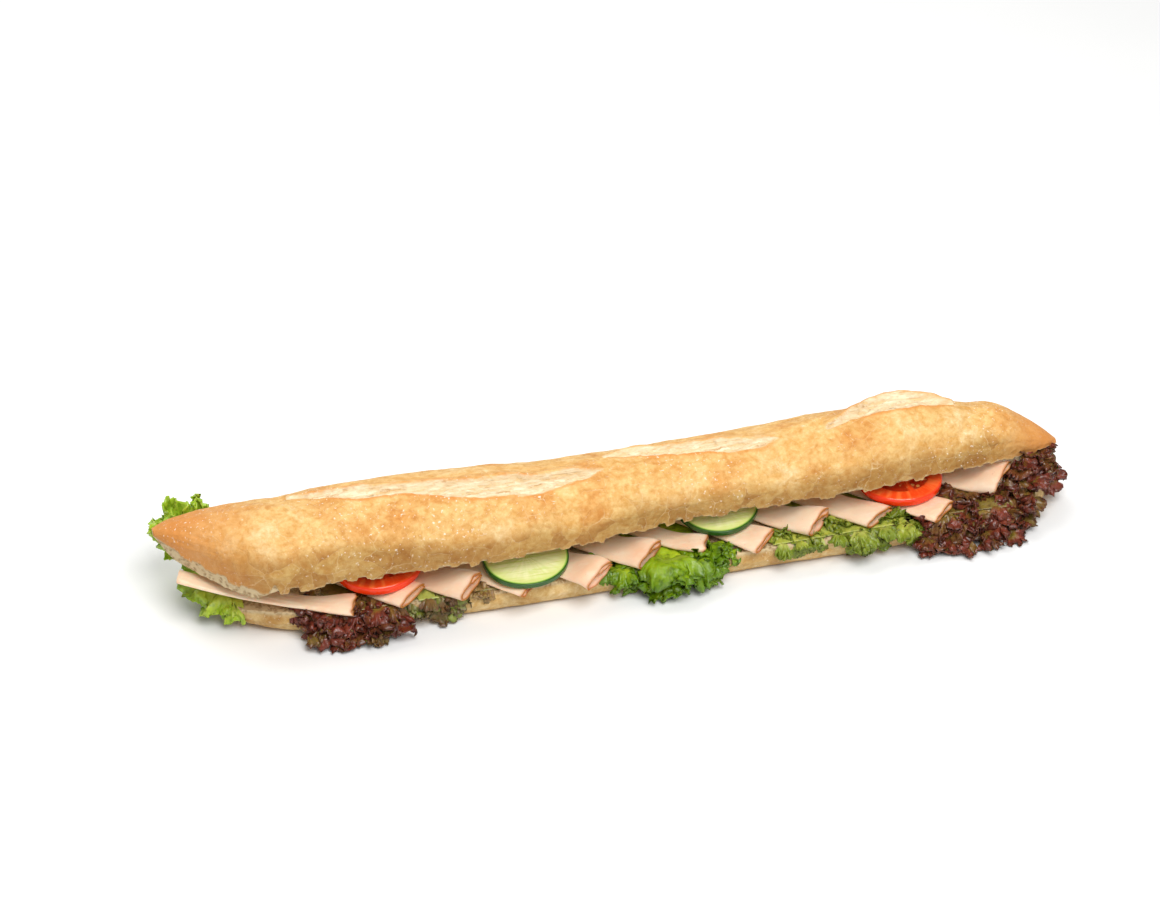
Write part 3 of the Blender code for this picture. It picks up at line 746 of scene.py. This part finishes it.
def clear_of_bread(points):
    """The points moved off the lower half and up from the table."""
    low, high = LEAF_THICK, BASE_CUT_HEIGHT + LEAF_ABOVE_CUT
    z = points[..., 2]
    bent = low + (TABLE_BEND - low) * np.exp((z - TABLE_BEND) / TABLE_BEND)
    points[..., 2] = np.where(z < TABLE_BEND, bent, z)
    for p in points.reshape(-1, 3):
        if p[2] >= high or not BASE_PROFILE[0][0] < p[0] < BASE_PROFILE[-1][0]:
            continue
        front, back_y = profile_at(BASE_PROFILE, p[0])[:2]
        ahead = p[1] - (front - LEAF_BEFORE_CRUST)
        if ahead <= 0 or p[1] > back_y + 1:
            continue
        if ahead < high - p[2]:
            p[1] -= ahead
        else:
            p[2] = high
    return points


def below_slices(points):
    """The points kept under the slices that lie on the leaves."""
    for p in points.reshape(-1, 3):
        hit = slice_tree.ray_cast(Vector((p[0] * MM, p[1] * MM, 0)), Vector((0, 0, 1)))[0]
        if hit is not None:
            p[2] = min(p[2], hit.z / MM - SLICE_GAP)
    return points


def bed_strip(root, end, width):
    """The flat part of a leaf, from deep in the sandwich to where its lobes begin."""
    grid = np.zeros((BED_ROWS, BED_COLUMNS, 3))
    root, end = np.array(root, float), np.array(end, float)
    ahead = (end - root) / np.linalg.norm(end - root)
    for i in range(BED_ROWS):
        along = i / (BED_ROWS - 1)
        for j in range(BED_COLUMNS):
            side = (j / (BED_COLUMNS - 1) - 0.5) * width * (0.7 + 0.3 * along + 0.12 * bumps(i, 0, 0, 3, 23))
            x, y = root + (end - root) * along + np.array((-ahead[1], ahead[0])) * side
            loose = ease((along - 0.55) / 0.2) * (1 - ease((along - 0.86) / 0.12))
            ripple = 0.2 * bumps(x, y, 0, 9, 21)
            ripple += loose * (1.8 * bumps(x, y, 0, 5, 21) + 0.9 * bumps(x, y, 0, 2.4, 22) + 0.8)
            grid[i, j] = (x, y, LEAF_BED + ripple)
    return grid, np.zeros((BED_ROWS, BED_COLUMNS))


def leaf_finish(name, inner, body, rim, dark, other, gloss):
    """Fresh lettuce: thin and juicy, so light glows through it; paler near the rib, in two tones."""
    finish, tree, shader = new_finish(name)
    place = add_node(tree, "TexCoord").outputs["Object"]
    near_rim = add_node(tree, "Attribute", attribute_name="rim").outputs["Fac"]
    tint = add_node(tree, "Attribute", attribute_name="tint").outputs["Fac"]
    mottle = add_node(tree, "TexNoise", {"Vector": place, "Scale": 150.0, "Detail": 4.0}).outputs["Fac"]
    shifted = add_node(tree, "Math", {0: mottle, 1: 0.9, 2: near_rim}, operation="MULTIPLY_ADD").outputs[0]
    spots = add_node(tree, "TexNoise", {"Vector": place, "Scale": 300.0, "Detail": 5.0}).outputs["Fac"]
    tone = tinted(tree, linear(inner), ((shifted, 0.45, 0.95, 1.0, body), (tint, 0.55, 0.95, 0.85, other),
                                        (shifted, 1.05, 1.5, 1.0, rim), (spots, 0.5, 0.72, 0.6, dark)))
    veins = add_node(tree, "TexVoronoi", {"Vector": place, "Scale": 330.0},
                     feature="DISTANCE_TO_EDGE").outputs["Distance"]
    close_finish(tree, shader, tone, veins, 0.0005, 0.6,
                 {"Roughness": gloss, "Subsurface Weight": 0.35, "Subsurface Scale": 0.0012,
                  "Subsurface Radius": (0.6, 1.0, 0.25)})
    return finish


def add_leaf(name, finish, grids, seed):
    """One leaf from its lobes: their sheets joined and given their thickness."""
    random = np.random.default_rng(seed)
    points, faces, rims, tints = [], [], [], []
    for grid, rim in grids:
        rows, columns = rim.shape
        first = len(points)
        points += clear_of_bread(below_slices(grid)).reshape(-1, 3).tolist()
        rims += rim.reshape(-1).tolist()
        tints += [random.uniform(0, 1)] * (rows * columns)
        for i in range(rows - 1):
            for j in range(columns - 1):
                a = first + i * columns + j
                faces.append((a, a + columns, a + columns + 1, a + 1))
    made = add_piece(name, points, faces, finish, {"rim": rims, "tint": tints}, sharp_angle=180)
    thicken(made, LEAF_THICK)
    return made


green = leaf_finish("green_lettuce", "A8C026", "6E8E06", "587A02", "365404", "90AC10", 0.36)
end_green = leaf_finish("yellowish_green_lettuce", "D6DE78", "AEC436", "98B424", "648818", "C2D248", 0.36)
pale_green = leaf_finish("pale_lettuce", "BEC262", "7C8C20", "6E7C18", "44520E", "A8AE3E", 0.38)
red = leaf_finish("red_lettuce", "86702C", "7C3624", "5A281A", "32140C", "7E6A2E", 0.3)
brown = leaf_finish("brown_lettuce", "9C8E4A", "7E5E34", "B08E54", "4A301A", "96884A", 0.4)
olive = leaf_finish("olive_lettuce", "A8AE52", "7F8A34", "6B4A34", "55642A", "6E4228", 0.38)

# Each leaf: its flat part from, to and width; ruffle and waves of its large lobes; the lobes, each
# root x, y, z, heading from -Y towards -X, length, spread, pitch at root and rim; then its frills:
# x from and to, how far ahead of the bread from and to, height from and to, count, size
LEAVES = (
    ("lettuce_red_left", red, "red_leaf", ((-158, 20), (-157, -30), 40), 3.2, 3.0, (
        (-172, -27, 16.5, 30, 12, 46, 5, -75), (-160, -29, 16.5, 12, 12, 50, 8, -82),
        (-148, -30, 17, -6, 12, 50, 12, -70), (-140, -30, 17, -24, 11, 46, 5, -75)),
        ((-188, -136, (-5, 15), (20, 4), 50, 9), (-180, -138, (4, 15), (15, 4), 22, 10.5),
         (-186, -158, (6, 17), (9, 3), 12, 8))),
    ("lettuce_olive", olive, "olive_leaf", ((-110, 20), (-111, -30), 26), 2.4, 3.0, (
        (-118, -30, 17.5, 10, 8, 46, 5, -70),),
        ((-127, -98, (-9, 6), (20, 6), 34, 7.5),)),
    ("lettuce_brown", brown, "red_leaf", ((-80, 20), (-81, -30), 20), 2.0, 3.0, (
        (-87, -31, 17.8, 5, 5, 46, 10, -40),),
        ((-95, -70, (-11, 0), (20, 16.5), 28, 6),)),
    ("lettuce_green_middle", green, "green_leaf", ((20, 20), (20, -30), 50), 3.4, 2.8, (
        (-6, -30, 17, 14, 13, 50, 0, -70), (20, -29, 18.5, 16, 26, 62, 36, -84),
        (35, -31, 18, -4, 19, 46, 14, -84)),
        ((-14, 10, (-7, 5), (18, 8), 18, 8.5), (10, 34, (6, 14), (11, 4), 18, 9.5),
         (34, 48, (-6, 13), (21, 4), 28, 9.5), (45, 55, (-8, 2), (19, 12), 8, 7.5))),
    ("lettuce_pale", pale_green, "pale_leaf", ((120, 20), (121, -29), 80), 3.2, 2.2, (
        (88, -30, 17.4, 16, 11, 30, 5, -84), (97, -30, 17.2, -8, 8, 30, 25, -60),
        (121, -30, 17.4, 20, 10, 36, 30, -70), (133, -30, 17.6, 0, 15, 40, 14, -84),
        (148, -30, 17.4, -14, 11, 40, 35, -60), (161, -30, 17.4, 10, 13, 44, 20, -80)),
        ((84, 110, (-12, 1), (18, 13), 20, 8), (108, 126, (-12, 0), (18, 14), 16, 7.5),
         (124, 172, (-13, 3), (18.5, 10), 46, 8.5))),
    ("lettuce_red_right", red, "red_leaf", ((208, 16), (206, -27), 36), 3.4, 3.0, (
        (183, -28, 16.5, 22, 12, 46, 0, -82), (194, -29, 16.5, 6, 12, 50, 4, -80),
        (206, -28, 16.5, -5, 13, 50, 4, -78), (218, -25, 17, -20, 12, 50, 8, -74)),
        ((171, 200, (-3, 13), (13, 3), 28, 9.5), (196, 236, (-14, 15), (19, 4), 62, 10.5),
         (186, 230, (4, 15), (15, 4), 22, 11), (198, 232, (-20, -6), (18, 18.5), 26, 8.5))),
    ("lettuce_red_end", red, "red_leaf", ((232, 4), (246, -8), 14), 2.6, 2.6, (
        (243, -15, 22, -52, 13, 48, 40, -35),),
        ((234, 259, (-12, 6), (33, 12), 34, 9.5),)),
    ("lettuce_green_end", end_green, "green_leaf", ((-206, 12), (-226, 11), 24), 2.4, 1.8, (
        (-220, 4, 17, 52, 19, 44, -5, -70), (-224, 8, 17.5, 74, 21, 54, 0, -66),
        (-227, 16, 18, 94, 22, 55, 8, -45), (-226, 26, 19, 116, 22, 60, 24, 5),
        (-245, 43, 19, 150, 31, 58, 84, 72), (-233, 46, 19, 170, 30, 50, 84, 74),
        (-251, 42, 23, 126, 22, 56, 78, 50), (-247, 34, 22, 108, 17, 52, 66, 30)),
        ()),
)
slice_points, slice_faces = [], []
for piece in slices:
    first = len(slice_points)
    slice_points += [v.co.copy() for v in piece.data.vertices]
    slice_faces += [[first + i for i in face.vertices] for face in piece.data.polygons]
slice_tree = BVHTree.FromPolygons(slice_points, slice_faces)
for leaf_index, (node, finish, slot, bed, ruffle, waves, lobes, fringe) in enumerate(LEAVES):
    grids = [bed_strip(*bed)]
    for lobe_index, (x, y, z, heading, length, spread, pitch, end_pitch) in enumerate(lobes):
        seed = leaf_index * 2.3 + lobe_index * 1.7
        grids.append(lobe((x, y, z), heading, 0, length, spread, (pitch, end_pitch),
                          ruffle * length / 25, waves, seed, LOBE_ROWS, LOBE_COLUMNS))
    for part, region in enumerate(fringe):
        grids += frills(*region, seed=leaf_index * 7 + part)
    leaf = add_leaf(node + "_fine", finish, grids, leaf_index)
    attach(leaf, "root")
    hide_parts(node)

# The upper half of the loaf.
# The crown of the baguette: thin crackled crust with three slashes that tore open in the oven, their
# rear lips standing up as toasted ears, and pale crumb below where it was cut.
BREAD_CENTRE_ABOVE_CUT = 9.0
TOP_LEAN = math.tan(math.radians(6.0))
CRUMB_DROP = 7.0
CRUST_RAGGED = 1.3
CRUST_UNEVEN = 1.1
NOTCH_PLACE = -204.0
NOTCH_HALF_WIDTH = 2.2
NOTCH_DEPTH = 5.0
TOP_STATIONS = 520
TOP_ARC_STEPS = 150
TOP_CUT_POINTS = 26
TOP_WALL_POINTS = 9
# x, then the front edge, its height, the back edge and the height of the crown above the edges there
TOP_PROFILE = (
    (-262, 21, 51, 27, 3),
    (-255, 12, 49, 31, 9),
    (-240, -4, 45, 34, 19.5),
    (-226, -18, 42.5, 36, 27),
    (-212, -29, 41, 37, 32),
    (-190, -32, 40.5, 38, 33),
    (-160, -31, 40, 39, 35),
    (-110, -33, 40, 39, 36),
    (-40, -32, 40, 35, 32.5),
    (25, -22, 39, 36, 30.5),
    (80, -20, 39, 38, 31),
    (140, -20, 39, 40, 34),
    (175, -16, 38.5, 41, 36),
    (196, -13, 38, 38, 31),
    (212, -11, 37.8, 33, 26),
    (228, -9, 37.5, 30, 25),
    (245, -4, 35.5, 22, 16.5),
    (257, 0, 34, 14, 8.5),
    (264, 4, 33, 8, 2.5),
)
SLASH_FULL_WIDTH = 5.0
EAR_SPREAD = 3.0
# Depth, ear height, then places along the slash as x, angle over the crown and half width
SLASHES = (
    (2.6, 2.2, ((-187, 112, 2), (-155, 92, 5), (-121, 85, 4.8), (-105, 79, 6), (-86, 74.5, 6.9),
                (-69, 75, 7.6), (-57, 72, 6.8), (-42, 74, 5.6), (-26, 76.5, 4.2), (-11, 80, 1.2))),
    (2.4, 1.8, ((-7, 104, 1.5), (12, 101, 4.6), (29, 93, 5), (50, 86, 5), (70, 78, 4.7), (86, 76, 3),
                (93, 76, 1))),
    (2.6, 3.6, ((122, 78, 2), (143, 92, 4.5), (157, 96, 7.5), (172, 94, 8.5), (186, 95, 7), (204, 97, 2))),
)


def slash_relief(x, angle, arc_per_degree):
    """How far the slashes lift the crown there, how far it is torn, and how far toasted, with the painted
    shadow under each ear counted as toast.
    """
    height = torn = toast_and_ear_shadow = 0.0
    for depth, ear, places in SLASHES:
        if not places[0][0] < x < places[-1][0]:
            continue
        middle, half_width = profile_at(places, x)
        opening = min(half_width / SLASH_FULL_WIDTH, 1.0)
        away = (angle - middle) * arc_per_degree
        away += (1.6 * bumps(x, away, 0, 11, 41) + 0.7 * bumps(x, away, 0, 3, 42)) * opening
        inside = away / half_width
        if abs(inside) < 1:
            height -= depth * opening * (1 - inside * inside)
            strings = bumps(x * 0.3, away, 0, 2.2, 43) + 0.6 * bumps(x * 0.6, away, 0, 1.0, 44)
            height += 1.5 * strings * (1 - inside**4)
        behind, before = away - half_width, away + half_width
        torn = max(torn, ease(-behind / 0.8) * ease((before + 1.2 * bumps(x, 0, 0, 6, 45)) / 2.2))
        lip = behind / EAR_SPREAD
        lip *= 2.2 if lip < 0 else 0.9
        height += ear * opening * (1 + 0.5 * bumps(x, 0, 0, 9, 46)) * math.exp(-lip * lip)
        height += 0.5 * opening * math.exp(-(before / 1.3) ** 2)
        # Painted shadow: a thin brown line just inside the slash under its ear, broken in places.
        edge = 0.9 * opening * math.exp(-((behind + 0.2) / 0.6) ** 2) * ease(0.6 + bumps(x, 0, 0, 16, 47))
        ridge = 0.3 * opening * ease(behind / 0.9) * math.exp(-max(behind, 0) / 4)
        patchy = ease(0.75 + 1.2 * bumps(x, 0, 0, 22, 48))
        scorch = 0.95 * opening * math.exp(-(before + 0.4) ** 2) * patchy
        toast_and_ear_shadow = max(toast_and_ear_shadow, edge, ridge, scorch)
    return height, torn, toast_and_ear_shadow


def tip_toast(x):
    """The ends of the loaf bake darker."""
    return 0.85 * max(ease((-196 - x) / 62), ease((x - 212) / 48))


def top_ring(x):
    """The upper half's outline at x: round the crust from front to back, then back along the cut."""
    front, edge_z, back_y, crown = profile_at(TOP_PROFILE, x)
    sunk = min(BREAD_CENTRE_ABOVE_CUT, crown * 0.35)
    rise = max(crown - sunk, 1.0)
    tuck = math.asin(min(sunk / (rise * 1.6), 0.6))
    half = (back_y - front) / 2 / math.cos(tuck)
    middle = (front + back_y) / 2
    arc_per_degree = math.pi * (half + rise) / 360
    full = ease(crown / 20)
    end_toast = tip_toast(x)
    ring = []
    for step in range(TOP_ARC_STEPS + 1):
        angle = -tuck + (math.pi + 2 * tuck) * step / TOP_ARC_STEPS
        out_y, up_z = -math.cos(angle), math.sin(angle)
        swell = rise if up_z > 0 else sunk / math.sin(tuck)
        lift, torn, toast_and_ear_shadow = slash_relief(x, math.degrees(angle), arc_per_degree)
        lift += CRUST_UNEVEN * bumps(x, 60 * out_y, 60 * up_z, 34, 1)
        lift += 0.6 * bumps(x, 50 * out_y, 50 * up_z, 12, 5) + 0.22 * bumps(x, 50 * out_y, 50 * up_z, 4.5, 6)
        lift *= full
        y = middle + (half + lift) * out_y
        z = edge_z + sunk + (swell + lift) * up_z
        from_edge = min(step, TOP_ARC_STEPS - step) * math.degrees(math.pi + 2 * tuck) / TOP_ARC_STEPS
        from_edge *= arc_per_degree
        rear = step > TOP_ARC_STEPS / 2
        flakes = noise.cell(Vector((x / 5.3 + 0.15 * math.sin(x), 0, rear))) - 0.5
        fray = CRUST_RAGGED * bumps(x, y, 0, 5.5, 2) + 0.7 * bumps(x, 0, rear, 1.9, 7) + 1.8 * flakes
        if step < TOP_ARC_STEPS / 2:
            fray += NOTCH_DEPTH * max(0.0, 1 - abs(x - NOTCH_PLACE) / NOTCH_HALF_WIDTH)
        z += fray * full * ease((4.0 - from_edge) / 4.0)
        # Painted shade: a darker band about 20 mm wide along the cut edge, wider at the left, weaker at the
        # tips.
        painted_shade_reach = 20 + 8 * ease((-90 - x) / 60) + 9 * bumps(x, 0, 0, 30, 8)
        low = ease((painted_shade_reach - from_edge) / 15) * (1 - 0.8 * end_toast)
        broken = 0.55 * ease((0.8 - from_edge) / 0.6)
        # Toast at the tips and in the slashes, with the painted shadow under the ears.
        baked_and_ear_shadow = max(toast_and_ear_shadow, end_toast * (1 - 0.6 * torn))
        ring.append((x, y, z - (y - front) * TOP_LEAN, broken, torn, baked_and_ear_shadow, low))
    return ring + cut_points(x, front, back_y, edge_z, full, ring[0])


def cut_points(x, front, back_y, edge_z, full, front_edge):
    """The cut face from back to front, then the wall of crumb below the crust at the left end."""
    drop = CRUMB_DROP * ease((-200 - x) / 18) * ease((x + 264) / 12)
    points = []
    for along in np.linspace(0.03, 1, TOP_CUT_POINTS):
        y = back_y + (front + 1.2 - back_y) * along
        hollow = 0.9 * math.sin(math.pi * along) * full
        fall = drop * ease(along / 0.5) + 0.5 * ease((along - 0.8) / 0.2)
        rough = (0.7 * bumps(x, y, 0, 4, 51) + 0.4 * bumps(x, y, 0, 1.8, 52)) * full
        points.append((x, y, edge_z + hollow - fall + rough - (y - front) * TOP_LEAN, *CUT_CRUMB))
    x, y, z = points[-1][:3]
    pit_share = min(drop / 4, 1)
    for along in np.linspace(0.12, 0.95, TOP_WALL_POINTS):
        pit = 1.1 * bumps(x, 0, along * (drop + 0.5), 2.6, 53) + 0.5
        pit = pit * pit_share * math.sin(math.pi * along)
        points.append((x, y + (front_edge[1] - y) * along + pit, z + (front_edge[2] - z) * along,
                       *CUT_CRUMB))
    return points


top_crust = crust_finish("crackled_golden_crust", "F0CC8C", "DFA255", 0.75)
top_rings = [top_ring(x)[::-1] for x in stations(TOP_PROFILE[0][0], TOP_PROFILE[-1][0], TOP_STATIONS)]
top = add_loaf_half("upper_bread", top_rings, top_crust)
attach(top, "root")
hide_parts("bread_top")
